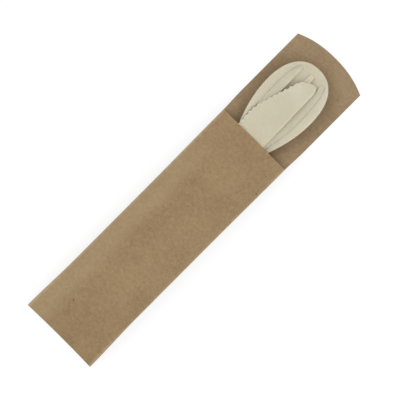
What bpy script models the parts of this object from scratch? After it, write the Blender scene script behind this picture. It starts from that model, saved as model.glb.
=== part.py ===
"""Travel cutlery set: a moulded spoon, fork and knife, nested in a folded kraft card sleeve.

Metres, +Z up. The sleeve lies on its back panel, centred on the origin, with its long axis along Y
and its mouth towards +Y. The cutlery is modelled in the frame of the empty cutlery_stack: its origin
is below the tip of the spoon, and a distance t from that tip is at y = -t, down the handles.
"""
import math

import bmesh
import bpy
from mathutils import Vector

MM = 0.001

# Fit of one piece on another
SEAT_GAP = 0.3 * MM
SLEEVE_ROOM = 1.3 * MM

# Sleeve
CARD = 0.4 * MM
GLUE = 0.1 * MM
SLEEVE_WIDTH = 50.0 * MM
FRONT_LENGTH = 157.6 * MM
TONGUE_ARC = 5.0 * MM
TONGUE_ARC_POWER = 2.25
TONGUE_MARGIN = 11.3 * MM
BOTTOM_MARGIN = 26.7 * MM
BOTTOM_DRAW = 0.35 * MM
GLUE_FLAP = 12.0 * MM
FOLD_WALL = 0.7 * MM
TONGUE_RELAX = 20.0 * MM
BACK_FLAT_SHARE = 0.4
FRONT_POWER = 2.5
RISE_TO_MARGIN = 1.45

# Place of the cutlery in the sleeve
STACK_OFFSET = -1.9 * MM
STACK_TURN = math.radians(1.22)

# Spoon
SPOON_LENGTH = 185.0 * MM
SPOON_WIDTH = 35.8 * MM
SPOON_WALL = 1.5 * MM
BOWL_PEAK = 25.0 * MM
BOWL_FRONT_POWER = 2.3
BOWL_DEPTH = 4.4 * MM
BOWL_POWER = 2.4
BOWL_RIM_END = 28.0 * MM
RIM_BAND = 0.9 * MM
RIM_LIP = 0.6 * MM
NECK = 72.0 * MM
SPOON_NECK_WIDTH = 10.0 * MM
SPOON_NECK_RISE = 1.0 * MM
SPOON_END_WIDTH = 17.5 * MM
HANDLE_TROUGH = 0.7 * MM
TROUGH_POWER = 2.0
HANDLE_EDGE = 0.3 * MM
WAIST_POWER = 1.3

# Fork
FORK_TIP = 4.9 * MM
FORK_LENGTH = 178.5 * MM
FORK_WALL = 1.5 * MM
FORK_TIP_WALL = 0.8 * MM
FORK_EDGE_SHARE = 0.4
NEST_GAP = 0.42 * MM
FORK_HEAD_WIDTH = 25.2 * MM
FORK_HEAD_PEAK = 27.0 * MM
FORK_HEAD_FRONT = 0.4 * MM
FORK_HEAD_POWER = 3.0
TINE_LENGTH = 31.0 * MM
TINE_POINT = 1.6 * MM
TINE_BLUNTNESS = 0.9
MIDDLE_TINE_TIP_WIDTH = 2.8 * MM
MIDDLE_TINE_ROOT_WIDTH = 4.0 * MM
SLOT_REACH_AT_TIP = 8.2 * MM
SLOT_REACH_AT_ROOT = 7.3 * MM
FORK_NECK_WIDTH = 9.2 * MM
FORK_END_WIDTH = 16.5 * MM

# Knife
KNIFE_TIP = 8.4 * MM
KNIFE_LENGTH = 176.0 * MM
KNIFE_THICKNESS = 1.8 * MM
KNIFE_EDGE_THICKNESS = 0.5 * MM
BLADE_LENGTH = 76.0 * MM
BLADE_SPINE = 8.3 * MM
BLADE_WIDTH = 21.5 * MM
BLADE_POINT = 6.4 * MM
BLADE_POINT_RADIUS = 5.5 * MM
BLADE_SWEEP = 45.0 * MM
BLADE_SWEEP_RISE = 14.3 * MM
BLADE_SWEEP_POWER = 1.75
BEVEL_SHARE = 0.7
TOOTH_PITCH = 3.3 * MM
TOOTH_DEPTH = 0.5 * MM
HEEL_LENGTH = 9.0 * MM
KNIFE_NECK_WIDTH = 11.0 * MM
KNIFE_END_WIDTH = 17.0 * MM
KNIFE_PANEL_DEPTH = 0.5 * MM

# Worked out from the sizes above
SLEEVE_LENGTH = TONGUE_MARGIN + SPOON_LENGTH + BOTTOM_MARGIN
BOTTOM_Y = -SLEEVE_LENGTH / 2
MOUTH_Y = BOTTOM_Y + FRONT_LENGTH
TONGUE_Y = SLEEVE_LENGTH / 2
SPOON_TIP_Y = TONGUE_Y - TONGUE_MARGIN
MOUTH_T = SPOON_TIP_Y - MOUTH_Y
STANDOFF = 3 * CARD + GLUE
BED = CARD + SEAT_GAP


def smooth(start, end, value):
    """0 before start, 1 after end, and a smooth step between them."""
    share = min(1.0, max(0.0, (value - start) / (end - start)))
    return share * share * (3 - 2 * share)


def spaced(start, end, count):
    """Count steps of the same length from start to end."""
    return [start + (end - start) * step / count for step in range(count + 1)]


def eased(start, end, count):
    """Count steps from start to end, finest at the start."""
    return [start + (end - start) * (1 - math.cos(math.pi / 2 * step / count)) for step in range(count + 1)]


def joined(*runs):
    """Several runs of stations as one, with the shared ends once."""
    stations = list(runs[0])
    for run in runs[1:]:
        stations.extend(run[1:])
    return stations


def skin(bm, columns, rows, place):
    """A grid of faces through place(column, row)."""
    across = len(columns) - 1
    along = len(rows) - 1
    made = bmesh.ops.create_grid(bm, x_segments=across, y_segments=along, size=0.5)
    for vert in made["verts"]:
        column = columns[round((vert.co.x + 0.5) * across)]
        row = rows[round((vert.co.y + 0.5) * along)]
        vert.co = place(column, row)


def open_edges(bm):
    return [edge for edge in bm.edges if edge.is_boundary]


def weld(bm):
    bmesh.ops.remove_doubles(bm, verts=bm.verts, dist=0.001 * MM)
    bmesh.ops.dissolve_degenerate(bm, edges=bm.edges, dist=0.0005 * MM)


def material(name, colour, roughness):
    made = bpy.data.materials.new(name)
    made.use_nodes = True
    shader = made.node_tree.nodes["Principled BSDF"]
    shader.inputs["Base Color"].default_value = (*colour, 1)
    shader.inputs["Roughness"].default_value = roughness
    shader.inputs["Metallic"].default_value = 0
    made.diffuse_color = (*colour, 1)
    return made


def finish(bm, name, surface, parent=None):
    """The mesh as an object with faces pointing out and soft shading on its round stretches."""
    bmesh.ops.recalc_face_normals(bm, faces=bm.faces)
    mesh = bpy.data.meshes.new(name)
    bm.to_mesh(mesh)
    bm.free()
    mesh.shade_smooth()
    mesh.set_sharp_from_angle(angle=math.radians(35))
    mesh.materials.append(surface)
    made = bpy.data.objects.new(name, mesh)
    bpy.context.collection.objects.link(made)
    made.parent = parent
    return made


def shell(name, columns, rows, upper, lower, surface, parent):
    """A moulding between an upper and a lower skin whose borders are bridged."""
    bm = bmesh.new()
    skin(bm, columns, rows, upper)
    skin(bm, columns, rows, lower)
    weld(bm)
    bmesh.ops.bridge_loops(bm, edges=open_edges(bm))
    return finish(bm, name, surface, parent)


# Spoon

def spoon_inset(t, inset):
    """The station t drawn in from both ends, for an outline that lies inside the outer one."""
    round_start = SPOON_LENGTH - SPOON_END_WIDTH / 2
    if t < BOWL_PEAK:
        return BOWL_PEAK - (BOWL_PEAK - t) * (1 - inset / BOWL_PEAK)
    if t > round_start:
        return round_start + (t - round_start) * (1 - inset / (SPOON_END_WIDTH / 2))
    return t


def handle_half(t, neck_width, end_width, end_t):
    """Half the width of a handle that widens from its neck to its end."""
    share = smooth(NECK, end_t - end_width / 2, t)
    return (neck_width + (end_width - neck_width) * share) / 2


def rounded(t, end_t, radius, inset):
    """Share of the width left at t in the round end of a handle."""
    past = t - (end_t - radius)
    if past <= 0:
        return 1.0
    return math.sqrt(max(0.0, 1 - (past / (radius - inset)) ** 2))


def waist(t, peak_t, neck_t, peak_half, neck_half):
    """Half the width between a widest station and a neck."""
    share = min(1.0, max(0.0, (t - peak_t) / (neck_t - peak_t)))
    return neck_half + (peak_half - neck_half) * (1 - share * share) ** WAIST_POWER


def spoon_full_half(t):
    """Half the spoon's width behind the bowl's widest station, without its round end."""
    if t < NECK:
        return waist(t, BOWL_PEAK, NECK, SPOON_WIDTH / 2, SPOON_NECK_WIDTH / 2)
    return handle_half(t, SPOON_NECK_WIDTH, SPOON_END_WIDTH, SPOON_LENGTH)


def spoon_half(t, inset):
    if t < BOWL_PEAK:
        along = min(1.0, (BOWL_PEAK - t) / (BOWL_PEAK - inset))
        power = BOWL_FRONT_POWER
        return (SPOON_WIDTH / 2 - inset) * (1 - along ** power) ** (1 / power)
    return (spoon_full_half(t) - inset) * rounded(t, SPOON_LENGTH, SPOON_END_WIDTH / 2, inset)


def spoon_floor(t):
    """Height of the spoon's upper side on its centre line, behind the bowl's front."""
    up = smooth(BOWL_PEAK, NECK, t)
    down = max(0.0, (t - NECK) / (SPOON_LENGTH - NECK))
    return BED + SPOON_WALL + SPOON_NECK_RISE * (up - down)


def spoon_rim(t):
    bowl_rim = BED + SPOON_WALL + BOWL_DEPTH
    share = smooth(BOWL_RIM_END, NECK, t)
    return bowl_rim + (spoon_floor(t) + HANDLE_TROUGH - bowl_rim) * share


def spoon_spread(x, t, inset):
    """How far the point lies from the spoon's centre towards its rim, from 0 to 1."""
    half = SPOON_WIDTH / 2 - inset
    if t < BOWL_PEAK:
        power = BOWL_FRONT_POWER
        along = (BOWL_PEAK - t) / (BOWL_PEAK - inset)
        return (abs(x / half) ** power + along ** power) ** (1 / power)
    return abs(x) / (spoon_full_half(t) - inset)


def spoon_power(t):
    return BOWL_POWER + (TROUGH_POWER - BOWL_POWER) * smooth(BOWL_RIM_END, NECK, t)


def spoon_band(t):
    return RIM_BAND + (HANDLE_EDGE - RIM_BAND) * smooth(BOWL_RIM_END, NECK, t)


def spoon_top_height(x, t):
    low = spoon_floor(t)
    return low + (spoon_rim(t) - low) * min(1.0, spoon_spread(x, t, spoon_band(t))) ** spoon_power(t)


def spoon_upper(column, t):
    inset = spoon_band(t)
    drawn_in = spoon_inset(t, inset)
    x = column * spoon_half(drawn_in, inset)
    return Vector((x, -drawn_in, spoon_top_height(x, drawn_in)))


def spoon_lower(column, t):
    x = column * spoon_half(t, 0)
    low = spoon_floor(t) - SPOON_WALL
    lip = RIM_LIP + (SPOON_WALL - RIM_LIP) * smooth(BOWL_RIM_END, NECK, t)
    high = spoon_rim(t) - lip
    return Vector((x, -t, low + (high - low) * min(1.0, spoon_spread(x, t, 0)) ** spoon_power(t)))


def make_spoon(surface, stack):
    round_start = SPOON_LENGTH - SPOON_END_WIDTH / 2
    rows = joined(
        eased(0, BOWL_PEAK, 11),
        spaced(BOWL_PEAK, NECK, 14),
        spaced(NECK, round_start, 8),
        eased(SPOON_LENGTH, round_start, 7)[::-1],
    )
    return shell("spoon", spaced(-1, 1, 18), rows, spoon_upper, spoon_lower, surface, stack)


# Fork

FORK_END = FORK_TIP + FORK_LENGTH
PALM = FORK_TIP + TINE_LENGTH


def tine_roundness(t):
    """Share of a tine's width left at t in its round point."""
    short = max(0.0, 1 - (t - FORK_TIP) / TINE_POINT)
    return math.sqrt(1 - (TINE_BLUNTNESS * min(1.0, short)) ** 2)


def middle_tine_half(t):
    share = min(1.0, max(0.0, (t - FORK_TIP) / TINE_LENGTH))
    width = MIDDLE_TINE_TIP_WIDTH + (MIDDLE_TINE_ROOT_WIDTH - MIDDLE_TINE_TIP_WIDTH) * share
    return width / 2 * tine_roundness(t)


def slot_reach(t):
    """Distance from the centre line to the inner side of an outer tine."""
    share = min(1.0, max(0.0, (t - FORK_TIP) / TINE_LENGTH))
    straight = SLOT_REACH_AT_TIP + (SLOT_REACH_AT_ROOT - SLOT_REACH_AT_TIP) * share
    outer = fork_full_half(max(t, FORK_TIP))
    return outer - (outer - straight) * (1 + tine_roundness(t)) / 2


def fork_full_half(t):
    """Half the fork's width, without its round end: a head shaped like the bowl, a neck, a handle."""
    head = FORK_HEAD_WIDTH / 2
    if t < FORK_HEAD_PEAK:
        along = (FORK_HEAD_PEAK - t) / (FORK_HEAD_PEAK - FORK_HEAD_FRONT)
        return head * (1 - along ** FORK_HEAD_POWER) ** (1 / FORK_HEAD_POWER)
    if t < NECK:
        return waist(t, FORK_HEAD_PEAK, NECK, head, FORK_NECK_WIDTH / 2)
    return handle_half(t, FORK_NECK_WIDTH, FORK_END_WIDTH, FORK_END)


def fork_half(t, inset):
    return (fork_full_half(t) - inset) * rounded(t, FORK_END, FORK_END_WIDTH / 2, inset)


def fork_under_height(x, t):
    """The fork nests in the spoon: its underside runs along the spoon's upper side."""
    return spoon_top_height(x, t) + NEST_GAP


def fork_wall(x, t):
    """The wall thins towards the tips of the tines and towards both edges of the fork."""
    middle = FORK_TIP_WALL + (FORK_WALL - FORK_TIP_WALL) * smooth(FORK_TIP, FORK_TIP + TINE_LENGTH / 2, t)
    out = min(1.0, abs(x) / fork_full_half(t))
    return middle * (1 - (1 - FORK_EDGE_SHARE) * out ** 3)


def fork_top_height(x, t):
    return fork_under_height(x, t) + fork_wall(x, t)


def fork_inset(t, inset):
    """The station t drawn in from the round end of the handle."""
    radius = FORK_END_WIDTH / 2
    past = max(0.0, t - (FORK_END - radius))
    return t - past * inset / radius


def fork_upper(column, t):
    drawn_in = fork_inset(t, HANDLE_EDGE)
    x = column * fork_half(drawn_in, HANDLE_EDGE)
    return Vector((x, -drawn_in, fork_top_height(x, drawn_in)))


def fork_lower(column, t):
    x = column * fork_half(t, 0)
    return Vector((x, -t, fork_under_height(x, t)))


def slot_cutter(side, stack):
    """A prism that cuts the gap beside the middle tine, round at its root."""
    reach = slot_reach(PALM)
    inner = middle_tine_half(PALM)
    radius = (reach - inner) / 2
    root = PALM - radius
    stations = joined(spaced(root, FORK_TIP + TINE_POINT, 4), eased(FORK_TIP, FORK_TIP + TINE_POINT, 4)[::-1])
    outer_side = [(slot_reach(t), t) for t in stations] + [(slot_reach(FORK_TIP), FORK_TIP - TINE_POINT)]
    inner_side = [(middle_tine_half(t), t) for t in stations]
    inner_side.append((middle_tine_half(FORK_TIP), FORK_TIP - TINE_POINT))
    bottom = []
    for turn in spaced(math.pi, 0, 8)[1:-1]:
        bottom.append(((reach + inner) / 2 + math.cos(turn) * radius, root + math.sin(turn) * radius))
    bm = bmesh.new()
    ring = [bm.verts.new((side * x, -t, 0)) for x, t in outer_side[::-1] + bottom[::-1] + inner_side]
    face = bm.faces.new(ring)
    raised = bmesh.ops.extrude_face_region(bm, geom=[face])["geom"]
    top = [item for item in raised if isinstance(item, bmesh.types.BMVert)]
    bmesh.ops.translate(bm, verts=top, vec=(0, 0, BED + 3 * BOWL_DEPTH))
    bmesh.ops.recalc_face_normals(bm, faces=bm.faces)
    name = "fork_slot_right" if side > 0 else "fork_slot_left"
    mesh = bpy.data.meshes.new(name)
    bm.to_mesh(mesh)
    bm.free()
    cutter = bpy.data.objects.new(name, mesh)
    bpy.context.collection.objects.link(cutter)
    cutter.parent = stack
    cutter.hide_render = True
    cutter.display_type = "WIRE"
    return cutter


def make_fork(surface, stack):
    round_start = FORK_END - FORK_END_WIDTH / 2
    rows = joined(
        spaced(FORK_TIP, FORK_HEAD_PEAK, 10),
        spaced(FORK_HEAD_PEAK, NECK, 12),
        spaced(NECK, round_start, 7),
        eased(FORK_END, round_start, 5)[::-1],
    )
    fork = shell("fork", spaced(-1, 1, 18), rows, fork_upper, fork_lower, surface, stack)
    for side in (-1, 1):
        cut = fork.modifiers.new("slot", "BOOLEAN")
        cut.operation = "DIFFERENCE"
        cut.solver = "EXACT"
        cut.object = slot_cutter(side, stack)
    return fork


# Knife

KNIFE_END = KNIFE_TIP + KNIFE_LENGTH
BLADE_END = KNIFE_TIP + BLADE_LENGTH
HANDLE_START = BLADE_END + HEEL_LENGTH


def knife_handle_half(t):
    share = smooth(HANDLE_START, KNIFE_END - KNIFE_END_WIDTH / 2, t)
    return (KNIFE_NECK_WIDTH + (KNIFE_END_WIDTH - KNIFE_NECK_WIDTH) * share) / 2


def knife_point(t):
    """Share of the blade's width left at t in its round point."""
    short = max(0.0, (KNIFE_TIP + BLADE_POINT_RADIUS - t) / BLADE_POINT_RADIUS)
    return math.sqrt(max(0.0, 1 - short * short))


def knife_spine(t):
    blade = BLADE_POINT + (BLADE_SPINE - BLADE_POINT) * knife_point(t)
    full = blade + (knife_handle_half(t) - blade) * smooth(BLADE_END - HEEL_LENGTH, HANDLE_START, t)
    return full * rounded(t, KNIFE_END, KNIFE_END_WIDTH / 2, 0)


def knife_edge(t):
    sweep = max(0.0, (KNIFE_TIP + BLADE_SWEEP - t) / BLADE_SWEEP)
    straight = BLADE_SPINE - BLADE_WIDTH + BLADE_SWEEP_RISE * sweep ** BLADE_SWEEP_POWER
    blade = BLADE_POINT + (straight - BLADE_POINT) * knife_point(t) ** 2
    toothed = smooth(KNIFE_TIP, KNIFE_TIP + BLADE_POINT_RADIUS, t)
    toothed *= 1 - smooth(BLADE_END - TOOTH_PITCH, BLADE_END, t)
    blade += TOOTH_DEPTH * toothed * abs(math.sin(math.pi * (t - KNIFE_TIP) / TOOTH_PITCH))
    full = blade + (-knife_handle_half(t) - blade) * smooth(BLADE_END, HANDLE_START, t)
    return full * rounded(t, KNIFE_END, KNIFE_END_WIDTH / 2, 0)


def knife_line(t):
    """Height of the knife's flat underside, which runs parallel to the edges of the fork's handle."""
    handle_end = FORK_END - FORK_END_WIDTH
    neck_height = fork_top_height(fork_half(NECK, HANDLE_EDGE), NECK)
    end_height = fork_top_height(fork_half(handle_end, HANDLE_EDGE), handle_end)
    return neck_height + (neck_height - end_height) * (NECK - t) / (handle_end - NECK)


def under_knife(x, t):
    """Top of what lies under the knife at a point: the spoon or, inside its outline, the fork."""
    heights = [BED]
    if 0 < t < SPOON_LENGTH and abs(x) < spoon_half(t, 0):
        heights.append(spoon_top_height(x, t))
    if FORK_TIP < t < FORK_END and abs(x) < fork_half(t, 0):
        heights.append(fork_top_height(x, t))
    return max(heights)


def knife_seat():
    """Lift for which the knife's underside clears the fork and the spoon by the seat gap."""
    needed = []
    for t in spaced(KNIFE_TIP, KNIFE_END, 120):
        for share in spaced(0, 1, 16):
            x = knife_spine(t) + (knife_edge(t) - knife_spine(t)) * share
            needed.append(under_knife(x, t) + SEAT_GAP - knife_line(t))
    return max(needed)


KNIFE_LIFT = knife_seat()


def knife_thickness(share, t):
    """Thickness from the spine, share 0, to the edge, share 1."""
    bevel = max(0.0, (share - BEVEL_SHARE) / (1 - BEVEL_SHARE))
    blade = KNIFE_THICKNESS + (KNIFE_EDGE_THICKNESS - KNIFE_THICKNESS) * bevel
    panel = KNIFE_PANEL_DEPTH * (1 - abs(2 * share - 1) ** 4)
    panel *= smooth(HANDLE_START, HANDLE_START + HEEL_LENGTH, t)
    panel *= 1 - smooth(KNIFE_END - KNIFE_END_WIDTH, KNIFE_END - KNIFE_END_WIDTH / 2, t)
    handle = KNIFE_THICKNESS - panel
    return blade + (handle - blade) * smooth(BLADE_END, HANDLE_START, t)


def knife_lower(share, t):
    x = knife_spine(t) + (knife_edge(t) - knife_spine(t)) * share
    return Vector((x, -t, knife_line(t) + KNIFE_LIFT))


def knife_upper(share, t):
    drawn_in = KNIFE_TIP + HANDLE_EDGE + (t - KNIFE_TIP) * (1 - 2 * HANDLE_EDGE / KNIFE_LENGTH)
    middle = (knife_spine(t) + knife_edge(t)) / 2
    half = (knife_spine(t) - knife_edge(t)) / 2
    left = middle - max(0.0, half - HANDLE_EDGE)
    right = middle + max(0.0, half - HANDLE_EDGE)
    height = knife_line(drawn_in) + KNIFE_LIFT + knife_thickness(share, t)
    return Vector((right + (left - right) * share, -drawn_in, height))


def make_knife(surface, stack):
    teeth = round((BLADE_END - KNIFE_TIP - BLADE_POINT_RADIUS) / TOOTH_PITCH)
    first = KNIFE_TIP + 2 * TOOTH_PITCH
    toothed = spaced(first, first + (teeth - 1) * TOOTH_PITCH, 4 * (teeth - 1))
    round_start = KNIFE_END - KNIFE_END_WIDTH / 2
    rows = joined(
        eased(KNIFE_TIP, first, 7),
        toothed,
        spaced(toothed[-1], HANDLE_START, 5),
        spaced(HANDLE_START, round_start, 7),
        eased(KNIFE_END, round_start, 5)[::-1],
    )
    columns = joined(spaced(0, BEVEL_SHARE, 3), spaced(BEVEL_SHARE, 1, 2))
    return shell("knife", columns, rows, knife_upper, knife_lower, surface, stack)


# Sleeve

STACK_TOP = max(knife_line(t) + KNIFE_LIFT + KNIFE_THICKNESS for t in (MOUTH_T, KNIFE_END))
BULGE = STACK_TOP + SLEEVE_ROOM + CARD - STANDOFF

# Both panels are as long across as the flat sleeve is wide, so the one's curl follows from the
# other's bow, and the folds draw together by the length that the curves take up.
FRONT_STRETCH = FRONT_POWER ** 2 / (2 * (2 * FRONT_POWER - 1))
BACK_STRETCH = 2 / (3 * (1 - BACK_FLAT_SHARE))
CURL_TO_BOW = math.sqrt(FRONT_STRETCH / BACK_STRETCH)
BOW = BULGE / (1 + CURL_TO_BOW)
CURL = BULGE - BOW
PINCH = FRONT_STRETCH * BOW ** 2 / (SLEEVE_WIDTH / 2)
FLAP_COLUMN = 1 - (GLUE_FLAP - FOLD_WALL) / (SLEEVE_WIDTH / 2 - FOLD_WALL)


def bulge(y):
    """Share of the full bulge: none at the bottom fold, all along the cutlery, fading on the tongue."""
    if y <= MOUTH_Y:
        return math.sin(math.pi / 2 * min(1.0, (y - BOTTOM_Y) / (RISE_TO_MARGIN * BOTTOM_MARGIN)))
    return 1 - smooth(MOUTH_Y, MOUTH_Y + TONGUE_RELAX, y)


def sleeve_half(y):
    return SLEEVE_WIDTH / 2 - PINCH * bulge(y) ** 2


def sleeve_x(column, y):
    """Columns from -1 to 1 span the pocket, and a column beyond them lies on the fold."""
    if abs(column) > 1:
        return math.copysign(sleeve_half(y), column)
    return column * (sleeve_half(y) - FOLD_WALL)


def sleeve_y(column, y):
    """The bulge draws the middle of the bottom fold in."""
    near = max(0.0, 1 - (y - BOTTOM_Y) / BOTTOM_MARGIN)
    return y + BOTTOM_DRAW * near * (1 - min(1.0, abs(column)) ** 2)


def tongue_y(column, share):
    """Stations from the mouth to the arc that ends the back panel."""
    past = 1.0 if abs(column) > 1 else abs(column) * (1 - FOLD_WALL / (SLEEVE_WIDTH / 2))
    end = TONGUE_Y - TONGUE_ARC * past ** TONGUE_ARC_POWER
    return MOUTH_Y + share * (end - MOUTH_Y)


def back_height(x, y):
    past = max(0.0, abs(x) / sleeve_half(y) - BACK_FLAT_SHARE) / (1 - BACK_FLAT_SHARE)
    return CURL * bulge(y) * past ** 2


def underside(column, y):
    x = sleeve_x(column, y)
    return Vector((x, sleeve_y(column, y), back_height(x, y)))


def back_inside(column, y):
    x = sleeve_x(column, y)
    return Vector((x, sleeve_y(column, y), back_height(x, y) + CARD))


def pocket_floor(column, y):
    """The inside of the back panel, a card thicker where a glue flap lies on it."""
    flap = CARD if abs(column) >= FLAP_COLUMN else 0.0
    return back_inside(column, y) + Vector((0, 0, flap))


def front(column, y):
    x = sleeve_x(column, y)
    crown = 1 - (abs(x) / sleeve_half(y)) ** FRONT_POWER
    height = back_height(sleeve_half(y), y) + STANDOFF + BOW * bulge(y) * crown
    return Vector((x, sleeve_y(column, y), height))


def pocket_ceiling(column, y):
    return front(column, y) - Vector((0, 0, CARD))


def on_tongue(surface):
    """The same surface, with rows given as a share of the tongue."""
    return lambda column, share: surface(column, tongue_y(column, share))


def between(low, high):
    """A narrow strip from one surface to another; its columns are shares of that way."""
    def place(share, station):
        column, y = station
        return low(column, y).lerp(high(column, y), share)
    return place


def make_sleeve(surface):
    step = CARD / SLEEVE_WIDTH
    right = spaced(FLAP_COLUMN, 1, 3)
    left = [-column for column in right[::-1]]
    inner = left + spaced(-FLAP_COLUMN + step, FLAP_COLUMN - step, 8) + right
    outer = [-2] + inner + [2]
    pocket_end = BOTTOM_Y + FOLD_WALL
    rise_end = BOTTOM_Y + RISE_TO_MARGIN * BOTTOM_MARGIN
    pocket = joined(spaced(pocket_end, rise_end, 7), spaced(rise_end, MOUTH_Y, 4))
    pouch = [BOTTOM_Y] + pocket
    tongue = spaced(0, 1, 8)
    edge = (0, 1)
    bm = bmesh.new()
    skin(bm, outer, pouch, underside)
    skin(bm, outer, tongue, on_tongue(underside))
    skin(bm, outer, tongue, on_tongue(back_inside))
    skin(bm, outer, pouch, front)
    skin(bm, inner, pocket, pocket_floor)
    skin(bm, inner, pocket, pocket_ceiling)
    for side in (-2, 2):
        skin(bm, edge, [(side, y) for y in pouch], between(underside, back_inside))
        skin(bm, edge, [(side, y) for y in pouch], between(back_inside, front))
        skin(bm, edge, [(side, share) for share in tongue],
             between(on_tongue(underside), on_tongue(back_inside)))
    for side in (-1, 1):
        skin(bm, edge, [(side, y) for y in pocket], between(pocket_floor, pocket_ceiling))
    skin(bm, edge, [(column, 1) for column in outer],
         between(on_tongue(underside), on_tongue(back_inside)))
    skin(bm, edge, [(column, BOTTOM_Y) for column in outer], between(underside, back_inside))
    skin(bm, edge, [(column, BOTTOM_Y) for column in outer], between(back_inside, front))
    skin(bm, edge, [(column, pocket_end) for column in inner], between(pocket_floor, pocket_ceiling))
    skin(bm, edge, [(column, MOUTH_Y) for column in inner], between(pocket_ceiling, front))
    weld(bm)
    bmesh.ops.holes_fill(bm, edges=open_edges(bm))
    return finish(bm, "sleeve", surface)


def main():
    for old in list(bpy.data.objects):
        bpy.data.objects.remove(old)
    kraft = material("kraft_card", (0.34, 0.24, 0.14), 0.9)
    cream = material("cream_plastic", (0.62, 0.56, 0.42), 0.5)
    stack = bpy.data.objects.new("cutlery_stack", None)
    bpy.context.collection.objects.link(stack)
    stack.location = (STACK_OFFSET, SPOON_TIP_Y, 0)
    stack.rotation_euler = (0, 0, STACK_TURN)
    make_sleeve(kraft)
    make_spoon(cream, stack)
    make_fork(cream, stack)
    make_knife(cream, stack)
    bpy.context.view_layer.update()


main()
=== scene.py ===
"""Looks of a travel cutlery set: fine meshes and finishes for the card sleeve, spoon, fork and knife.

Metres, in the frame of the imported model: +Y towards the sleeve's mouth, +Z up. On the cutlery, t is the
distance from the spoon's tip down the handles, and x runs across them.
"""

import math

import bmesh
import bpy
from mathutils import Matrix, Vector, noise


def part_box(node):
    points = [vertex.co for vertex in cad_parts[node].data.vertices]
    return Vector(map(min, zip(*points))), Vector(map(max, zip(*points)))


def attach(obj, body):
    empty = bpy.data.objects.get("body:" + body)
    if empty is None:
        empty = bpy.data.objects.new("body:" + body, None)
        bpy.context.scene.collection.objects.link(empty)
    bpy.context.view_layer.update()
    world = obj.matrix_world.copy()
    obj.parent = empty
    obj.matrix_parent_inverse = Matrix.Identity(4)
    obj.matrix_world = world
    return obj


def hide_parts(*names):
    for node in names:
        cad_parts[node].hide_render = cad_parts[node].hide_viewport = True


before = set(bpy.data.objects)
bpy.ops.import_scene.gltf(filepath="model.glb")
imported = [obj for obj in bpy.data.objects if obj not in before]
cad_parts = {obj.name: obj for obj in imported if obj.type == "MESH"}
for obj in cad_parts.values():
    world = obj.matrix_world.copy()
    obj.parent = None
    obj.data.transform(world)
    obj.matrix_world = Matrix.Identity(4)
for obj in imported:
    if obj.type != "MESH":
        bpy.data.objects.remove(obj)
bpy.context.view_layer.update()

MM = 0.001

# Sleeve
CARD = 0.4 * MM
GLUE = 0.1 * MM
FOLD_WALL = 0.7 * MM
FRONT_LENGTH = 157.6 * MM
TONGUE_ARC = 5.0 * MM
TONGUE_ARC_POWER = 2.25
TONGUE_MARGIN = 11.3 * MM
BOTTOM_MARGIN = 26.7 * MM
BOTTOM_DRAW = 0.35 * MM
GLUE_FLAP = 12.0 * MM
TONGUE_RELAX = 20.0 * MM
BACK_FLAT_SHARE = 0.4
FRONT_POWER = 2.5
RISE_TO_MARGIN = 1.45
PINCH_SLACK = 1.4
MOUTH_EASE = 0.22
MOUTH_RUN = 60.0 * MM
FOLD_ROUND = 0.32 * MM
CARD_WAVE = 0.10 * MM
WAVE_WIDTH = 16.0 * MM
WAVE_LENGTH = 38.0 * MM
WAVE_PICK = 0.7
WAVE_SIDE_FADE = 12.0 * MM
WAVE_BOTTOM_FADE = 15.0 * MM

# Place of the cutlery
STACK_OFFSET = -1.9 * MM
STACK_TURN = math.radians(1.22)
SEAT_GAP = 0.3 * MM
BED = CARD + SEAT_GAP

# Spoon
SPOON_LENGTH = 185.0 * MM
SPOON_WIDTH = 35.8 * MM
SPOON_WALL = 1.5 * MM
BOWL_PEAK = 25.0 * MM
BOWL_FRONT_POWER = 2.3
BOWL_DEPTH = 4.4 * MM
BOWL_POWER = 2.4
BOWL_RIM_END = 28.0 * MM
RIM_BAND = 0.9 * MM
RIM_LIP = 0.6 * MM
NECK = 72.0 * MM
SPOON_NECK_WIDTH = 10.0 * MM
SPOON_NECK_RISE = 1.0 * MM
SPOON_END_WIDTH = 17.5 * MM
HANDLE_TROUGH = 0.7 * MM
TROUGH_POWER = 2.0
HANDLE_EDGE = 0.3 * MM
WAIST_POWER = 1.3
EDGE_ROUND = 0.25 * MM

# Fork
FORK_TIP = 4.9 * MM
FORK_LENGTH = 178.5 * MM
FORK_WALL = 1.5 * MM
FORK_TIP_WALL = 0.8 * MM
FORK_EDGE_SHARE = 0.06
FORK_EDGE_POWER = 4
HEAD_SWELL = 0.45 * MM
NEST_GAP = 0.03 * MM
FORK_HEAD_WIDTH = 25.2 * MM
FORK_HEAD_PEAK = 27.0 * MM
FORK_HEAD_FRONT = 0.4 * MM
FORK_HEAD_POWER = 3.0
TINE_LENGTH = 31.0 * MM
TINE_POINT = 1.6 * MM
TINE_POINT_POWER = 2.6
MIDDLE_TINE_TIP_WIDTH = 3.4 * MM
MIDDLE_TINE_ROOT_WIDTH = 4.3 * MM
SLOT_REACH_AT_TIP = 7.2 * MM
SLOT_REACH_AT_ROOT = 6.8 * MM
PALM_RUN = 1.2 * MM
FORK_NECK_WIDTH = 9.2 * MM
FORK_END_WIDTH = 16.5 * MM

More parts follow.
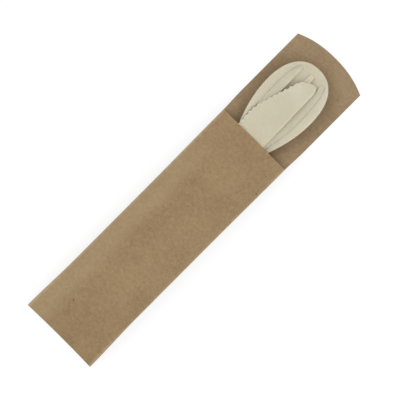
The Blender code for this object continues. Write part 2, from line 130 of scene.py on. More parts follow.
# Knife
KNIFE_TIP = 8.4 * MM
KNIFE_LENGTH = 176.0 * MM
KNIFE_THICKNESS = 1.8 * MM
BLADE_THICKNESS = 1.25 * MM
KNIFE_EDGE_THICKNESS = 0.5 * MM
BLADE_LENGTH = 76.0 * MM
BLADE_SPINE = 7.6 * MM
BLADE_WIDTH = 20.5 * MM
BLADE_POINT = 5.7 * MM
BLADE_POINT_RADIUS = 5.5 * MM
BLADE_SWEEP = 34.0 * MM
BLADE_SWEEP_RISE = 11.0 * MM
BLADE_SWEEP_POWER = 1.2
BEVEL_SHARE = 0.7
TOOTH_PITCH = 3.3 * MM
TOOTH_DEPTH = 0.9 * MM
HEEL_LENGTH = 9.0 * MM
KNIFE_NECK_WIDTH = 11.0 * MM
KNIFE_END_WIDTH = 17.0 * MM
KNIFE_PANEL_DEPTH = 0.5 * MM
KNIFE_SINK = 0.35 * MM
KNIFE_DIP = 0.42 * MM

# Photograph's view: 400 pixels across, straight down, the sleeve's axis rising to the right
VIEW_WIDTH = 227.65 * MM
VIEW_CENTRE = (2.38 * MM, -0.05 * MM)
VIEW_ROLL = math.radians(44.88)
VIEW_LENS = 300.0
VIEW_PLANE = 1.0 * MM
SENSOR = 36.0

# How finely each piece is divided
SPOON_COLUMNS = 28
BOWL_TIP_ROWS = 20
SPOON_ROWS = 70
SPOON_END_ROWS = 12
TINE_COLUMNS = 6
SLOT_COLUMNS = 8
TINE_POINT_ROWS = 5
TINE_ROWS = 24
ROOT_ROWS = 3
FORK_ROWS = 60
FORK_END_ROWS = 10
FLAT_COLUMNS = 9
BEVEL_COLUMNS = 5
BLADE_POINT_ROWS = 14
BLADE_ROWS = 190
KNIFE_HANDLE_ROWS = 40
KNIFE_END_ROWS = 10
FLAP_COLUMNS = 8
PANEL_COLUMNS = 24
RISE_ROWS = 24
POUCH_ROWS = 50
TONGUE_ROWS = 28
ROUND_STEPS = 3
WELD = 0.001 * MM
NEAR = 0.01 * MM
SHARP = math.radians(50)
FOLDED = math.radians(60)

# Floor and light
FLOOR_SIZE = 4.0
FLOOR_DROP = 0.1 * MM
FLOOR_TONE = 0.25
FLOOR_GLOW = 0.78
ROOM_LIGHT = 0.63
LAMP_SIZE = 1.2
LEFT_LAMP = (-1.2, 0.0, 0.72)
LEFT_POWER = 7.0
RIGHT_LAMP = (1.2, 0.2, 0.72)
RIGHT_POWER = 7.1

# Colours as a screen shows them, from 0 to 255; a pair is the light and the dark of one finish
OUTSIDE_TONES = (167, 144, 113), (151, 127, 97)
FRONT_TONES = (165, 139, 104), (147, 121, 87)
CUT_TONES = (200, 174, 138), (176, 148, 112)
FIBRE = (196, 170, 134)
BARK = (92, 66, 42)
# Pale card for the front panel's scuffing, painted light and painted highlight
RUB_AND_PAINTED_LIGHT_CARD = (206, 184, 146)
PLASTIC_TONES = (219, 212, 190), (212, 205, 180)
STRAW = (168, 146, 108)

# Where the front panel is painted paler: real scuffing with a painted highlight in the folds, painted light
# on its left, and a little all over
# Real scuffing with a painted highlight: paler along both side folds
FOLD_RUB_AND_HIGHLIGHT = 0.34
FOLD_RUB_AND_HIGHLIGHT_START = 23.3 * MM
FOLD_RUB_AND_HIGHLIGHT_END = 24.8 * MM
FOLD_RUB_AND_HIGHLIGHT_FRAY = 1.2 * MM
# Painted light: the left side of the front panel is painted paler, as if lit more from the left
PAINTED_LEFT_LIGHT = 0.2
PAINTED_LEFT_LIGHT_START = -8.0 * MM
PAINTED_LEFT_LIGHT_END = -17.0 * MM
EVEN_RUB = 0.02

# Worked out from the sizes above and from the frame
sleeve_low, sleeve_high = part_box("sleeve")
SLEEVE_WIDTH = sleeve_high.x - sleeve_low.x
BOTTOM_Y = sleeve_low.y
TONGUE_Y = sleeve_high.y
MOUTH_Y = BOTTOM_Y + FRONT_LENGTH
SPOON_TIP_Y = TONGUE_Y - TONGUE_MARGIN
STANDOFF = 3 * CARD + GLUE
BULGE = sleeve_high.z - STANDOFF
FRONT_STRETCH = FRONT_POWER ** 2 / (2 * (2 * FRONT_POWER - 1))
BACK_STRETCH = 2 / (3 * (1 - BACK_FLAT_SHARE))
BOW = BULGE / (1 + math.sqrt(FRONT_STRETCH / BACK_STRETCH))
CURL = BULGE - BOW
PINCH = FRONT_STRETCH * BOW ** 2 / (SLEEVE_WIDTH / 2) * PINCH_SLACK
FORK_END = FORK_TIP + FORK_LENGTH
PALM = FORK_TIP + TINE_LENGTH
KNIFE_END = KNIFE_TIP + KNIFE_LENGTH
BLADE_END = KNIFE_TIP + BLADE_LENGTH
HANDLE_START = BLADE_END + HEEL_LENGTH


# Shader expressions

class Wire:
    """A shader socket that takes part in plain arithmetic, each step a Math node."""

    def __init__(self, paint, socket):
        self.paint = paint
        self.socket = socket

    def beside(self, output):
        """Another output of the same node."""
        return Wire(self.paint, self.socket.node.outputs[output])

    def __add__(self, other):
        return self.paint.math("ADD", self, other)

    def __mul__(self, other):
        return self.paint.math("MULTIPLY", self, other)

    __radd__ = __add__
    __rmul__ = __mul__


class Paint:
    """A material on a Principled shader, with one way to add a node."""

    def __init__(self, name):
        self.material = bpy.data.materials.new(name)
        self.material.use_nodes = True
        self.tree = self.material.node_tree
        self.shader = self.tree.nodes["Principled BSDF"]
        self.place = self.node("ShaderNodeTexCoord", output="Object")

    def feed(self, socket, value):
        if isinstance(value, Wire):
            self.tree.links.new(value.socket, socket)
        else:
            socket.default_value = value

    def node(self, kind, settings=None, inputs=None, output=0):
        """The one way to add a node: its settings first, then the values or wires of its sockets."""
        made = self.tree.nodes.new(kind)
        for name, value in (settings or {}).items():
            setattr(made, name, value)
        for name, value in (inputs or {}).items():
            self.feed(made.inputs[name], value)
        return Wire(self, made.outputs[output])

    def math(self, operation, first, second=0.0):
        return self.node("ShaderNodeMath", {"operation": operation}, {0: first, 1: second})

    def step(self, value, start, end):
        """0 below start, 1 above end, smooth between them; a start past the end turns it round."""
        settings = {"interpolation_type": "SMOOTHSTEP"}
        inputs = {"Value": value, "From Min": start, "From Max": end}
        return self.node("ShaderNodeMapRange", settings, inputs)

    def blend(self, share, first, second):
        return self.node("ShaderNodeMix", {"data_type": "RGBA"}, {0: share, 6: first, 7: second}, output=2)

    def grain(self, scale, detail, roughness, place=None, distortion=0.0):
        inputs = {"Vector": place or self.place, "Scale": scale, "Detail": detail,
                  "Roughness": roughness, "Distortion": distortion}
        return self.node("ShaderNodeTexNoise", None, inputs, output="Fac")

    def turned(self, angle, stretch):
        inputs = {"Vector": self.place, "Rotation": (0, 0, angle), "Scale": stretch}
        return self.node("ShaderNodeMapping", None, inputs)

    def specks(self, scale, radius, share):
        """Round dots in some of the cells of a scattered pattern."""
        cells = {"Vector": self.place, "Scale": scale}
        distance = self.node("ShaderNodeTexVoronoi", None, cells, output="Distance")
        pick = self.node("ShaderNodeSeparateColor", None, {"Color": distance.beside("Color")}, output="Red")
        return self.step(distance, radius, radius * 0.4) * self.step(pick, 1 - share, 1 - share * 0.8)

    def bump(self, height, distance):
        return self.node("ShaderNodeBump", None, {"Height": height, "Distance": distance, "Strength": 1.0})

    def finish(self, base, roughness, normal, level):
        self.feed(self.shader.inputs["Base Color"], base)
        self.feed(self.shader.inputs["Roughness"], roughness)
        self.feed(self.shader.inputs["Normal"], normal)
        self.shader.inputs["Specular IOR Level"].default_value = level
        return self.material


def colour(screen):
    """A shader's linear colour from one given as it shows on a screen."""
    linear = []
    for value in screen:
        share = value / 255
        linear.append(share / 12.92 if share <= 0.04045 else ((share + 0.055) / 1.055) ** 2.4)
    return (*linear, 1)


def kraft_card(name, tones, rub_and_painted_light):
    """Uncoated brown card: cloudy pulp, pale fibres that lie every way, and a few flecks of bark."""
    paint = Paint(name)
    light, dark = tones
    clouds = paint.grain(scale=55, detail=4, roughness=0.6)
    pulp = paint.grain(scale=520, detail=3, roughness=0.6)
    fine = paint.grain(scale=2600, detail=2, roughness=0.5)
    fibres = None
    for angle, length in ((0.35, 0.16), (1.45, 0.20), (2.55, 0.14)):
        lie = paint.turned(angle, (length, 1, 1))
        strands = paint.grain(scale=2100, detail=1, roughness=0.4, place=lie, distortion=0.3)
        strands = paint.step(strands, 0.60, 0.72)
        fibres = strands if fibres is None else paint.math("MAXIMUM", fibres, strands)
    tone = paint.step(clouds * 0.35 + pulp * 0.4 + fine * 0.25, 0.36, 0.64)
    base = paint.blend(tone, colour(dark), colour(light))
    base = paint.blend(fibres * 0.22, base, colour(FIBRE))
    bark = paint.specks(scale=130, radius=0.09, share=0.16)
    dots = paint.specks(scale=420, radius=0.10, share=0.10)
    base = paint.blend(bark * 0.7 + dots * 0.22, base, colour(BARK))
    # Painted light on the left and a painted highlight with real scuffing along the folds, blended towards
    # a pale card
    if rub_and_painted_light:
        base = paint.blend(rubbing_and_painted_light(paint, pulp), base, colour(RUB_AND_PAINTED_LIGHT_CARD))
    height = fine * 0.5 + pulp * 0.5 + fibres * 0.6
    return paint.finish(base, 0.86 + fine * 0.1, paint.bump(height, 0.03 * MM), 0.25)


def rubbing_and_painted_light(paint, pulp):
    """How far the front panel is painted paler, place by place: scuffing with a painted highlight along the
    folds, painted light on its left, and a little all over.
    """
    across = paint.node("ShaderNodeSeparateXYZ", None, {"Vector": paint.place}, output="X")
    along = across.beside("Y")
    side = paint.math("ABSOLUTE", across)
    # Real scuffing with a painted highlight: paler along both side folds, with a frayed inner border
    folds = paint.step(side + pulp * FOLD_RUB_AND_HIGHLIGHT_FRAY, FOLD_RUB_AND_HIGHLIGHT_START, FOLD_RUB_AND_HIGHLIGHT_END)
    # Painted light: paler towards the left fold, fading out towards the mouth
    left = paint.step(across, PAINTED_LEFT_LIGHT_START, PAINTED_LEFT_LIGHT_END) * paint.step(along, MOUTH_Y, 0)
    return folds * FOLD_RUB_AND_HIGHLIGHT + left * PAINTED_LEFT_LIGHT + EVEN_RUB


def card_edge():
    """The cut edge of the card: paler, with the layers of the sheet as fine streaks."""
    paint = Paint("card_edge")
    light, dark = CUT_TONES
    layers = paint.grain(scale=3200, detail=2, roughness=0.5, place=paint.turned(0, (0.2, 0.2, 4)))
    base = paint.blend(paint.step(layers, 0.35, 0.65), colour(dark), colour(light))
    return paint.finish(base, 0.9, paint.bump(layers, 0.02 * MM), 0.2)


def cream_plastic():
    """Plant-filled cream plastic from the mould: satin, faintly clouded, with pale straw flecks."""
    paint = Paint("cream_plastic")
    light, dark = PLASTIC_TONES
    clouds = paint.grain(scale=60, detail=3, roughness=0.5)
    haze = paint.grain(scale=900, detail=3, roughness=0.6)
    pores = paint.grain(scale=4200, detail=2, roughness=0.5)
    tone = paint.step(clouds * 0.6 + haze * 0.4, 0.35, 0.65)
    base = paint.blend(tone, colour(dark), colour(light))
    flecks = paint.specks(scale=520, radius=0.12, share=0.18)
    dust = paint.specks(scale=1500, radius=0.16, share=0.12)
    base = paint.blend(flecks * 0.16 + dust * 0.10, base, colour(STRAW))
    paint.shader.inputs["Subsurface Weight"].default_value = 0.7
    paint.shader.inputs["Subsurface Radius"].default_value = (1.0, 1.0, 0.95)
    paint.shader.inputs["Subsurface Scale"].default_value = 1.3 * MM
    return paint.finish(base, 0.44 + haze * 0.12, paint.bump(pores * 0.6 + haze * 0.4, 0.008 * MM), 0.45)


# Modelling helpers

def smooth(start, end, value):
    share = min(1.0, max(0.0, (value - start) / (end - start)))
    return share * share * (3 - 2 * share)


def spaced(start, end, count):
    return [start + (end - start) * step / count for step in range(count + 1)]


def joined(*runs):
    stations = list(runs[0])
    for run in runs[1:]:
        stations.extend(run[1:])
    return stations


def skin(bm, columns, rows, place, material=0):
    """A grid of faces through place(column, row)."""
    across = len(columns) - 1
    along = len(rows) - 1
    made = bmesh.ops.create_grid(bm, x_segments=across, y_segments=along, size=0.5)
    for vert in made["verts"]:
        column = columns[round((vert.co.x + 0.5) * across)]
        row = rows[round((vert.co.y + 0.5) * along)]
        vert.co = place(column, row)
    for face in {face for vert in made["verts"] for face in vert.link_faces}:
        face.material_index = material


def open_edges(bm):
    return [edge for edge in bm.edges if edge.is_boundary]


def weld(bm):
    bmesh.ops.remove_doubles(bm, verts=bm.verts, dist=WELD)


def round_edges(bm, edges, radius):
    bmesh.ops.bevel(bm, geom=edges, offset=radius, segments=ROUND_STEPS, profile=0.5,
                    affect="EDGES", material=-1, clamp_overlap=True)


def add_piece(name, bm, node, finishes, levels=0):
    bmesh.ops.recalc_face_normals(bm, faces=bm.faces)
    mesh = bpy.data.meshes.new(name)
    bm.to_mesh(mesh)
    bm.free()
    mesh.shade_smooth()
    mesh.set_sharp_from_angle(angle=SHARP)
    for finish in finishes:
        mesh.materials.append(finish)
    made = bpy.data.objects.new(name, mesh)
    bpy.context.scene.collection.objects.link(made)
    if levels:
        smoothing = made.modifiers.new("smoothing", "SUBSURF")
        smoothing.levels = levels
        smoothing.render_levels = levels
    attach(made, "root")
    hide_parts(node)


def round_cap(column, reach, power=2.0):
    """A half disc drawn from a half square, so that its faces stay even; power swells its corners."""
    x = column * math.sqrt(1 - reach * reach / 2)
    y = reach * math.sqrt(1 - column * column / 2)
    size = math.hypot(x, y)
    if size < 1e-9:
        return x, y
    swell = (abs(x / size) ** power + abs(y / size) ** power) ** (-1 / power)
    return x * swell, y * swell


def waist(t, peak_t, neck_t, peak_half, neck_half):
    share = min(1.0, max(0.0, (t - peak_t) / (neck_t - peak_t)))
    return neck_half + (peak_half - neck_half) * (1 - share * share) ** WAIST_POWER


def handle_half(t, neck_width, end_width, end_t):
    share = smooth(NECK, end_t - end_width / 2, t)
    return (neck_width + (end_width - neck_width) * share) / 2


def stack_place():
    """From the cutlery's own frame to the model's."""
    return Matrix.Translation((STACK_OFFSET, SPOON_TIP_Y, 0)) @ Matrix.Rotation(STACK_TURN, 4, "Z")


def moulding(name, build, finish, levels):
    """Two skins from build, joined by a rim whose edges are rounded, set where the cutlery lies."""
    bm = bmesh.new()
    build(bm)
    weld(bm)
    borders = open_edges(bm)
    bmesh.ops.bridge_loops(bm, edges=borders)
    bmesh.ops.recalc_face_normals(bm, faces=bm.faces)
    round_edges(bm, [edge for edge in borders if edge.is_valid], EDGE_ROUND)
    bmesh.ops.transform(bm, matrix=stack_place(), verts=bm.verts)
    add_piece("moulded_" + name, bm, name, [finish], levels)


# Spoon

def spoon_full_half(t):
    if t < NECK:
        return waist(t, BOWL_PEAK, NECK, SPOON_WIDTH / 2, SPOON_NECK_WIDTH / 2)
    return handle_half(t, SPOON_NECK_WIDTH, SPOON_END_WIDTH, SPOON_LENGTH)


def spoon_floor(t):
    up = smooth(BOWL_PEAK, NECK, t)
    down = max(0.0, (t - NECK) / (SPOON_LENGTH - NECK))
    return BED + SPOON_WALL + SPOON_NECK_RISE * (up - down)


def spoon_rim(t):
    bowl_rim = BED + SPOON_WALL + BOWL_DEPTH
    share = smooth(BOWL_RIM_END, NECK, t)
    return bowl_rim + (spoon_floor(t) + HANDLE_TROUGH - bowl_rim) * share


def spoon_spread(x, t, inset):
    half = SPOON_WIDTH / 2 - inset
    if t < BOWL_PEAK:
        along = (BOWL_PEAK - t) / (BOWL_PEAK - inset)
        return (abs(x / half) ** BOWL_FRONT_POWER + along ** BOWL_FRONT_POWER) ** (1 / BOWL_FRONT_POWER)
    return abs(x) / (spoon_full_half(t) - inset)


def spoon_point(column, row, inset):
    """Plan position on the spoon: rows before 0 are its round tip, rows after 1 its round end."""
    round_start = SPOON_LENGTH - SPOON_END_WIDTH / 2
    if row < 0:
        x, reach = round_cap(column, -row, BOWL_FRONT_POWER)
        return x * (SPOON_WIDTH / 2 - inset), BOWL_PEAK - reach * (BOWL_PEAK - inset)
    if row > 1:
        x, reach = round_cap(column, row - 1)
        return x * (SPOON_END_WIDTH / 2 - inset), round_start + reach * (SPOON_END_WIDTH / 2 - inset)
    t = BOWL_PEAK + row * (round_start - BOWL_PEAK)
    return column * (spoon_full_half(t) - inset), t


def spoon_band(t):
    return RIM_BAND + (HANDLE_EDGE - RIM_BAND) * smooth(BOWL_RIM_END, NECK, t)


def spoon_power(t):
    return BOWL_POWER + (TROUGH_POWER - BOWL_POWER) * smooth(BOWL_RIM_END, NECK, t)


def spoon_top_height(x, t):
    low = spoon_floor(t)
    return low + (spoon_rim(t) - low) * min(1.0, spoon_spread(x, t, spoon_band(t))) ** spoon_power(t)


def spoon_under_height(x, t):
    low = spoon_floor(t) - SPOON_WALL
    lip = RIM_LIP + (SPOON_WALL - RIM_LIP) * smooth(BOWL_RIM_END, NECK, t)
    return low + (spoon_rim(t) - lip - low) * min(1.0, spoon_spread(x, t, 0)) ** spoon_power(t)


def build_spoon(bm):
    columns = spaced(-1, 1, SPOON_COLUMNS)
    rows = joined(spaced(-1, 0, BOWL_TIP_ROWS), spaced(0, 1, SPOON_ROWS), spaced(1, 2, SPOON_END_ROWS))

    def upper(column, row):
        x, t = spoon_point(column, row, spoon_band(spoon_point(0, row, 0)[1]))
        return Vector((x, -t, spoon_top_height(x, t)))

    def lower(column, row):
        x, t = spoon_point(column, row, 0)
        return Vector((x, -t, spoon_under_height(x, t)))

    skin(bm, columns, rows, upper)
    skin(bm, columns, rows, lower)


# Fork

PALM_ROW = 0.04


def fork_half(t):
    head = FORK_HEAD_WIDTH / 2
    if t < FORK_HEAD_PEAK:
        along = (FORK_HEAD_PEAK - t) / (FORK_HEAD_PEAK - FORK_HEAD_FRONT)
        return head * (1 - along ** FORK_HEAD_POWER) ** (1 / FORK_HEAD_POWER)
    if t < NECK:
        return waist(t, FORK_HEAD_PEAK, NECK, head, FORK_NECK_WIDTH / 2)
    return handle_half(t, FORK_NECK_WIDTH, FORK_END_WIDTH, FORK_END)


def tine_span(tine, t):
    """The two sides of the left, middle or right tine, -1, 0 or 1."""
    share = min(1.0, max(0.0, (t - FORK_TIP) / TINE_LENGTH))
    middle = (MIDDLE_TINE_TIP_WIDTH + (MIDDLE_TINE_ROOT_WIDTH - MIDDLE_TINE_TIP_WIDTH) * share) / 2
    reach = SLOT_REACH_AT_TIP + (SLOT_REACH_AT_ROOT - SLOT_REACH_AT_TIP) * share
    spans = {-1: (-fork_half(t), -reach), 0: (-middle, middle), 1: (reach, fork_half(t))}
    return spans[tine]


def slot_root(side):
    """Centre and radius of the round root of the slot left or right of the middle tine."""
    inner = tine_span(0, PALM)[1]
    reach = tine_span(1, PALM)[0]
    radius = (reach - inner) / 2
    return side * (reach + inner) / 2, PALM - radius, radius


def fork_columns():
    """Stations across the fork, each the tine or slot that it lies on and its share of that."""
    columns = []
    for tine in (-1, 0, 1):
        if tine > -1:
            slot = tine - 0.5
            columns.extend((slot, share) for share in spaced(-1, 1, SLOT_COLUMNS)[1:-1])
        columns.extend((tine, share) for share in spaced(-1, 1, TINE_COLUMNS))
    return columns


def tine_point(tine, share, row, inset):
    """Plan position on a tine, from its round point at row -2 to the root of the slots at row 0."""
    body_start = FORK_TIP + TINE_POINT
    root = slot_root(1)[1]
    if row < -1:
        share, reach = round_cap(share, -row - 1, TINE_POINT_POWER)
        t = body_start - reach * (TINE_POINT - inset)
    else:
        t = root + row * (root - body_start)
    low, high = tine_span(tine, t)
    return (low + high) / 2 + share * ((high - low) / 2 - inset), t


def palm_point(place, row, inset):
    """Plan position behind the slots; place is the share of the palm's width at the slots."""
    round_start = FORK_END - FORK_END_WIDTH / 2
    if row > 1:
        x, reach = round_cap(place, row - 1)
        return x * (FORK_END_WIDTH / 2 - inset), round_start + reach * (FORK_END_WIDTH / 2 - inset)
    palm_start = PALM + PALM_RUN
    t = palm_start + (row - PALM_ROW) / (1 - PALM_ROW) * (round_start - palm_start)
    return place * (fork_half(t) - inset), t


def fork_point(column, row, inset):
    part, share = column
    if part in (-1, 0, 1):
        low, high = tine_span(part, PALM)
        x, t = tine_point(part, share, min(row, 0), inset)
        place = ((low + high) / 2 + share * (high - low) / 2) / fork_half(PALM)
    else:
        middle, root, radius = slot_root(1 if part > 0 else -1)
        x = middle + share * (radius + inset)
        t = root + math.sqrt(1 - share * share) * (radius + inset)
        place = (middle + share * radius) / fork_half(PALM)
    if row <= 0:
        return x, t
    palm_x, palm_t = palm_point(place, max(row, PALM_ROW), inset)
    share = min(1.0, row / PALM_ROW)
    return x + (palm_x - x) * share, t + (palm_t - t) * share


def fork_under_height(x, t):
    return spoon_top_height(x, t) + NEST_GAP


def fork_wall(x, t):
    """The wall thins towards the tips of the tines and towards both edges of the fork."""
    full = FORK_WALL + HEAD_SWELL * (1 - smooth(PALM, NECK - FORK_NECK_WIDTH, t))
    middle = FORK_TIP_WALL + (full - FORK_TIP_WALL) * smooth(FORK_TIP, FORK_TIP + TINE_LENGTH / 2, t)
    out = min(1.0, abs(x) / fork_half(t))
    return middle * (1 - (1 - FORK_EDGE_SHARE) * out ** FORK_EDGE_POWER)


def fork_top_height(x, t):
    return fork_under_height(x, t) + fork_wall(x, t)


def build_fork(bm):
    """Two grids, with the faces over the slots taken out of them."""
    columns = fork_columns()
    tine_rows = joined(spaced(-2, -1, TINE_POINT_ROWS), spaced(-1, 0, TINE_ROWS))
    palm_rows = joined(spaced(0, PALM_ROW, ROOT_ROWS), spaced(PALM_ROW, 1, FORK_ROWS))
    rows = joined(tine_rows, palm_rows, spaced(1, 2, FORK_END_ROWS))
    across = len(columns) - 1
    along = len(rows) - 1

    def upper(column, row):
        x, t = fork_point(column, row, HANDLE_EDGE)
        return Vector((x, -t, fork_top_height(x, t)))

    def lower(column, row):
        x, t = fork_point(column, row, 0)
        return Vector((x, -t, fork_under_height(x, t)))

    for surface in (upper, lower):
        made = bmesh.ops.create_grid(bm, x_segments=across, y_segments=along, size=0.5)
        spot = {}
        for vert in made["verts"]:
            spot[vert] = (round((vert.co.x + 0.5) * across), round((vert.co.y + 0.5) * along))
        slots = []
        for face in {face for vert in made["verts"] for face in vert.link_faces}:
            on_slot = any(columns[spot[vert][0]][0] not in (-1, 0, 1) for vert in face.verts)
            if on_slot and min(spot[vert][1] for vert in face.verts) < len(tine_rows) - 1:
                slots.append(face)
        bmesh.ops.delete(bm, geom=slots, context="FACES")
        for vert, (column, row) in spot.items():
            if vert.is_valid:
                vert.co = surface(columns[column], rows[row])


# Knife

knife_low, knife_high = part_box("knife")
KNIFE_FALL = (knife_high.z - knife_low.z - KNIFE_THICKNESS) / KNIFE_LENGTH


def knife_under(t):
    dip = KNIFE_DIP * (BLADE_END - t) / BLADE_LENGTH
    return knife_low.z - KNIFE_SINK - dip + KNIFE_FALL * (KNIFE_END - t)


def knife_handle_half(t):
    share = smooth(HANDLE_START, KNIFE_END - KNIFE_END_WIDTH / 2, t)
    return (KNIFE_NECK_WIDTH + (KNIFE_END_WIDTH - KNIFE_NECK_WIDTH) * share) / 2


def knife_spine(t):
    share = smooth(BLADE_END - HEEL_LENGTH, HANDLE_START, t)
    return BLADE_SPINE + (knife_handle_half(t) - BLADE_SPINE) * share


def tooth(t):
    """0 at the point of a tooth and 1 in the gullet between two teeth."""
    toothed = smooth(KNIFE_TIP, KNIFE_TIP + BLADE_POINT_RADIUS, t)
    toothed *= 1 - smooth(BLADE_END - TOOTH_PITCH, BLADE_END, t)
    return toothed * abs(math.sin(math.pi * (t - KNIFE_TIP) / TOOTH_PITCH))


def knife_edge(t):
    sweep = max(0.0, (KNIFE_TIP + BLADE_SWEEP - t) / BLADE_SWEEP)
    blade = BLADE_SPINE - BLADE_WIDTH + BLADE_SWEEP_RISE * sweep ** BLADE_SWEEP_POWER
    return blade + (-knife_handle_half(t) - blade) * smooth(BLADE_END, HANDLE_START, t)


def knife_point(share, row, inset):
    """Plan position on the knife, share 0 at the spine and 1 at the edge: round before 0 and after 1."""
    point_start = KNIFE_TIP + BLADE_POINT_RADIUS
    round_start = KNIFE_END - KNIFE_END_WIDTH / 2
    if row > 1:
        x, reach = round_cap(1 - 2 * share, row - 1)
        return x * (KNIFE_END_WIDTH / 2 - inset), round_start + reach * (KNIFE_END_WIDTH / 2 - inset)
    side, closing = 1 - 2 * share, 1.0
    t = point_start + row * (round_start - point_start)
    if row < 0:
        x, reach = round_cap(side, -row)
        closing = math.sqrt(max(0.0, 1 - reach * reach))
        side = x / closing if closing > 1e-6 else 0.0
        t = point_start - reach * (BLADE_POINT_RADIUS - inset)
    left = BLADE_POINT + (knife_edge(t) + TOOTH_DEPTH * tooth(t) - BLADE_POINT) * closing
    right = BLADE_POINT + (knife_spine(t) - BLADE_POINT) * closing
    return (left + right) / 2 + side * max(0.0, (right - left) / 2 - inset), t


def knife_thickness(share, t):
    bevel = max(0.0, (share - BEVEL_SHARE) / (1 - BEVEL_SHARE))
    blade = BLADE_THICKNESS + (KNIFE_EDGE_THICKNESS - BLADE_THICKNESS) * bevel
    panel = KNIFE_PANEL_DEPTH * (1 - abs(2 * share - 1) ** 4)
    panel *= smooth(HANDLE_START, HANDLE_START + HEEL_LENGTH, t)
    panel *= 1 - smooth(KNIFE_END - KNIFE_END_WIDTH, KNIFE_END - KNIFE_END_WIDTH / 2, t)
    handle = KNIFE_THICKNESS - panel
    return blade + (handle - blade) * smooth(BLADE_END, HANDLE_START, t)


def build_knife(bm):
    columns = joined(spaced(0, BEVEL_SHARE, FLAT_COLUMNS), spaced(BEVEL_SHARE, 1, BEVEL_COLUMNS))
    point_start = KNIFE_TIP + BLADE_POINT_RADIUS
    round_start = KNIFE_END - KNIFE_END_WIDTH / 2
    blade_row = (HANDLE_START - point_start) / (round_start - point_start)
    blade = joined(spaced(-1, 0, BLADE_POINT_ROWS), spaced(0, blade_row, BLADE_ROWS))
    handle = joined(spaced(blade_row, 1, KNIFE_HANDLE_ROWS), spaced(1, 2, KNIFE_END_ROWS))
    rows = joined(blade, handle)

    def upper(share, row):
        x, t = knife_point(share, row, HANDLE_EDGE)
        return Vector((x, -t, knife_under(t) + knife_thickness(share, t)))

    def lower(share, row):
        x, t = knife_point(share, row, 0)
        return Vector((x, -t, knife_under(t)))

    skin(bm, columns, rows, upper)
    skin(bm, columns, rows, lower)


# Sleeve: its columns run from -1 to 1 between the fold walls, and OUTER is past a wall

OUTER = 2
FRONT_FINISH = 1
CUT_FINISH = 2


def bulge(y):
    full = 1 - MOUTH_EASE * smooth(MOUTH_Y - MOUTH_RUN, MOUTH_Y, y)
    if y <= MOUTH_Y:
        return full * math.sin(math.pi / 2 * min(1.0, (y - BOTTOM_Y) / (RISE_TO_MARGIN * BOTTOM_MARGIN)))
    return full * (1 - smooth(MOUTH_Y, MOUTH_Y + TONGUE_RELAX, y))


def sleeve_half(y):
    return SLEEVE_WIDTH / 2 - PINCH * bulge(y) ** 2


def sleeve_x(column, y):
    if abs(column) > 1:
        return math.copysign(sleeve_half(y), column)
    return column * (sleeve_half(y) - FOLD_WALL)


def sleeve_y(column, y):
    """The bulge draws the middle of the bottom fold in."""
    near = max(0.0, 1 - (y - BOTTOM_Y) / BOTTOM_MARGIN)
    return y + BOTTOM_DRAW * near * (1 - min(1.0, abs(column)) ** 2)


def tongue_y(column, share):
    past = 1.0 if abs(column) > 1 else abs(column) * (1 - FOLD_WALL / (SLEEVE_WIDTH / 2))
    end = TONGUE_Y - TONGUE_ARC * past ** TONGUE_ARC_POWER
    return MOUTH_Y + share * (end - MOUTH_Y)


def back_height(x, y):
    past = max(0.0, abs(x) / sleeve_half(y) - BACK_FLAT_SHARE) / (1 - BACK_FLAT_SHARE)
    return CURL * bulge(y) * past ** 2


def wave(x, y):
    """The slight unevenness of a card panel that has been handled, always inwards."""
    fade = smooth(0, WAVE_SIDE_FADE, SLEEVE_WIDTH / 2 - abs(x))
    fade *= smooth(0, WAVE_BOTTOM_FADE, y - BOTTOM_Y)
    dent = (noise.noise(Vector((x / WAVE_WIDTH, y / WAVE_LENGTH, WAVE_PICK))) - 1) / 2
    return CARD_WAVE * fade * dent


def underside(column, y):
    x = sleeve_x(column, y)
    return Vector((x, sleeve_y(column, y), back_height(x, y)))


def back_inside(column, y):
    x = sleeve_x(column, y)
    return Vector((x, sleeve_y(column, y), back_height(x, y) + CARD))


FLAP_COLUMN = 1 - (GLUE_FLAP - FOLD_WALL) / (SLEEVE_WIDTH / 2 - FOLD_WALL)


def pocket_floor(column, y):
    flap = CARD if abs(column) >= FLAP_COLUMN else 0.0
    return back_inside(column, y) + Vector((0, 0, flap))


def front(column, y):
    x = sleeve_x(column, y)
    crown = 1 - (abs(x) / sleeve_half(y)) ** FRONT_POWER
    height = back_height(sleeve_half(y), y) + STANDOFF + BOW * bulge(y) * crown + wave(x, y)
    return Vector((x, sleeve_y(column, y), height))


def pocket_ceiling(column, y):
    return front(column, y) - Vector((0, 0, CARD))


def on_tongue(surface):
    return lambda column, share: surface(column, tongue_y(column, share))


def between(low, high):
    """A narrow strip from one surface to another; its columns are shares of that way."""
    def place(share, station):
        column, y = station
        return low(column, y).lerp(high(column, y), share)
    return place


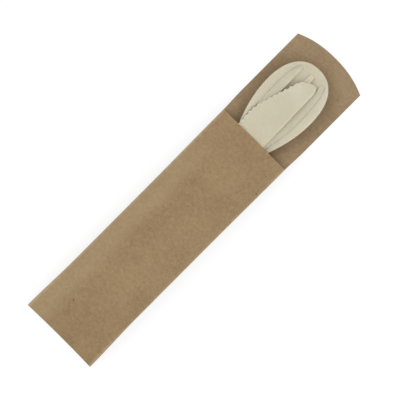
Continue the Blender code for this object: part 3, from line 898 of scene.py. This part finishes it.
def make_sleeve(finishes):
    """The patches of the folded card, welded, with its folds rounded."""
    step = CARD / SLEEVE_WIDTH
    right = spaced(FLAP_COLUMN, 1, FLAP_COLUMNS)
    left = [-column for column in right[::-1]]
    inner = left + spaced(-FLAP_COLUMN + step, FLAP_COLUMN - step, PANEL_COLUMNS) + right
    outer = [-OUTER] + inner + [OUTER]
    pocket_end = BOTTOM_Y + FOLD_WALL
    rise_end = BOTTOM_Y + RISE_TO_MARGIN * BOTTOM_MARGIN
    pocket = joined(spaced(pocket_end, rise_end, RISE_ROWS), spaced(rise_end, MOUTH_Y, POUCH_ROWS))
    pouch = [BOTTOM_Y] + pocket
    tongue = spaced(0, 1, TONGUE_ROWS)
    edge = (0, 1)
    bm = bmesh.new()
    skin(bm, outer, pouch, underside)
    skin(bm, outer, tongue, on_tongue(underside))
    skin(bm, outer, tongue, on_tongue(back_inside))
    skin(bm, outer, pouch, front, FRONT_FINISH)
    skin(bm, inner, pocket, pocket_floor)
    skin(bm, inner, pocket, pocket_ceiling)
    for side in (-OUTER, OUTER):
        skin(bm, edge, [(side, y) for y in pouch], between(underside, back_inside))
        skin(bm, edge, [(side, y) for y in pouch], between(back_inside, front))
        skin(bm, edge, [(side, share) for share in tongue],
             between(on_tongue(underside), on_tongue(back_inside)), CUT_FINISH)
    for side in (-1, 1):
        skin(bm, edge, [(side, y) for y in pocket], between(pocket_floor, pocket_ceiling))
    skin(bm, edge, [(column, 1) for column in outer],
         between(on_tongue(underside), on_tongue(back_inside)), CUT_FINISH)
    skin(bm, edge, [(column, BOTTOM_Y) for column in outer], between(underside, back_inside))
    skin(bm, edge, [(column, BOTTOM_Y) for column in outer], between(back_inside, front))
    skin(bm, edge, [(column, pocket_end) for column in inner], between(pocket_floor, pocket_ceiling))
    skin(bm, edge, [(column, MOUTH_Y) for column in inner], between(pocket_ceiling, front), CUT_FINISH)
    weld(bm)
    bmesh.ops.holes_fill(bm, edges=open_edges(bm))
    bmesh.ops.recalc_face_normals(bm, faces=bm.faces)
    folds = []
    for bend in bm.edges:
        start, end = bend.verts
        on_side = all(abs(abs(v.co.x) - sleeve_half(v.co.y)) < NEAR for v in (start, end))
        on_bottom = all(v.co.y < BOTTOM_Y + BOTTOM_DRAW + NEAR for v in (start, end))
        if bend.calc_face_angle(0) > FOLDED and (on_side or on_bottom):
            if max(start.co.y, end.co.y) < MOUTH_Y - NEAR:
                folds.append(bend)
    round_edges(bm, folds, FOLD_ROUND)
    add_piece("card_sleeve", bm, "sleeve", finishes)


# Surroundings

def make_floor():
    bm = bmesh.new()
    bmesh.ops.create_grid(bm, x_segments=1, y_segments=1, size=FLOOR_SIZE)
    bmesh.ops.translate(bm, verts=bm.verts, vec=(0, 0, -FLOOR_DROP))
    mesh = bpy.data.meshes.new("floor")
    bm.to_mesh(mesh)
    bm.free()
    paint = Paint("white_floor")
    paint.shader.inputs["Base Color"].default_value = (FLOOR_TONE, FLOOR_TONE, FLOOR_TONE, 1)
    paint.shader.inputs["Roughness"].default_value = 0.95
    paint.shader.inputs["Emission Color"].default_value = (1, 1, 1, 1)
    seen = paint.node("ShaderNodeLightPath", output="Is Camera Ray")
    seen = seen + paint.node("ShaderNodeLightPath", output="Is Glossy Ray")
    paint.feed(paint.shader.inputs["Emission Strength"], seen * FLOOR_GLOW)
    mesh.materials.append(paint.material)
    floor = bpy.data.objects.new("floor", mesh)
    bpy.context.scene.collection.objects.link(floor)


def make_lamp(name, place, power):
    """A soft square lamp that shines at the middle of the sleeve."""
    lamp = bpy.data.lights.new(name, "AREA")
    lamp.shape = "SQUARE"
    lamp.size = LAMP_SIZE
    lamp.energy = power
    made = bpy.data.objects.new(name, lamp)
    made.location = place
    made.rotation_mode = "QUATERNION"
    made.rotation_quaternion = (-Vector(place)).to_track_quat("-Z", "Y")
    bpy.context.scene.collection.objects.link(made)


def make_light():
    world = bpy.data.worlds.new("room")
    bpy.context.scene.world = world
    world.use_nodes = True
    background = world.node_tree.nodes["Background"]
    background.inputs["Color"].default_value = (1, 1, 1, 1)
    background.inputs["Strength"].default_value = ROOM_LIGHT
    make_lamp("left_lamp", LEFT_LAMP, LEFT_POWER)
    make_lamp("right_lamp", RIGHT_LAMP, RIGHT_POWER)


def make_camera():
    camera = bpy.data.cameras.new("camera")
    camera.lens = VIEW_LENS
    camera.sensor_width = SENSOR
    made = bpy.data.objects.new("camera", camera)
    made.location = (*VIEW_CENTRE, VIEW_WIDTH * VIEW_LENS / SENSOR + VIEW_PLANE)
    made.rotation_euler = (0, 0, VIEW_ROLL)
    bpy.context.scene.collection.objects.link(made)
    bpy.context.scene.camera = made


def main():
    bpy.context.scene.view_settings.view_transform = "Standard"
    outside = kraft_card("kraft_outside", OUTSIDE_TONES, rub_and_painted_light=False)
    # The front panel also carries painted light on its left and a painted highlight along its folds
    front_panel = kraft_card("kraft_front", FRONT_TONES, rub_and_painted_light=True)
    make_sleeve([outside, front_panel, card_edge()])
    cream = cream_plastic()
    moulding("spoon", build_spoon, cream, 1)
    moulding("fork", build_fork, cream, 1)
    moulding("knife", build_knife, cream, 0)
    make_floor()
    make_light()
    make_camera()


main()
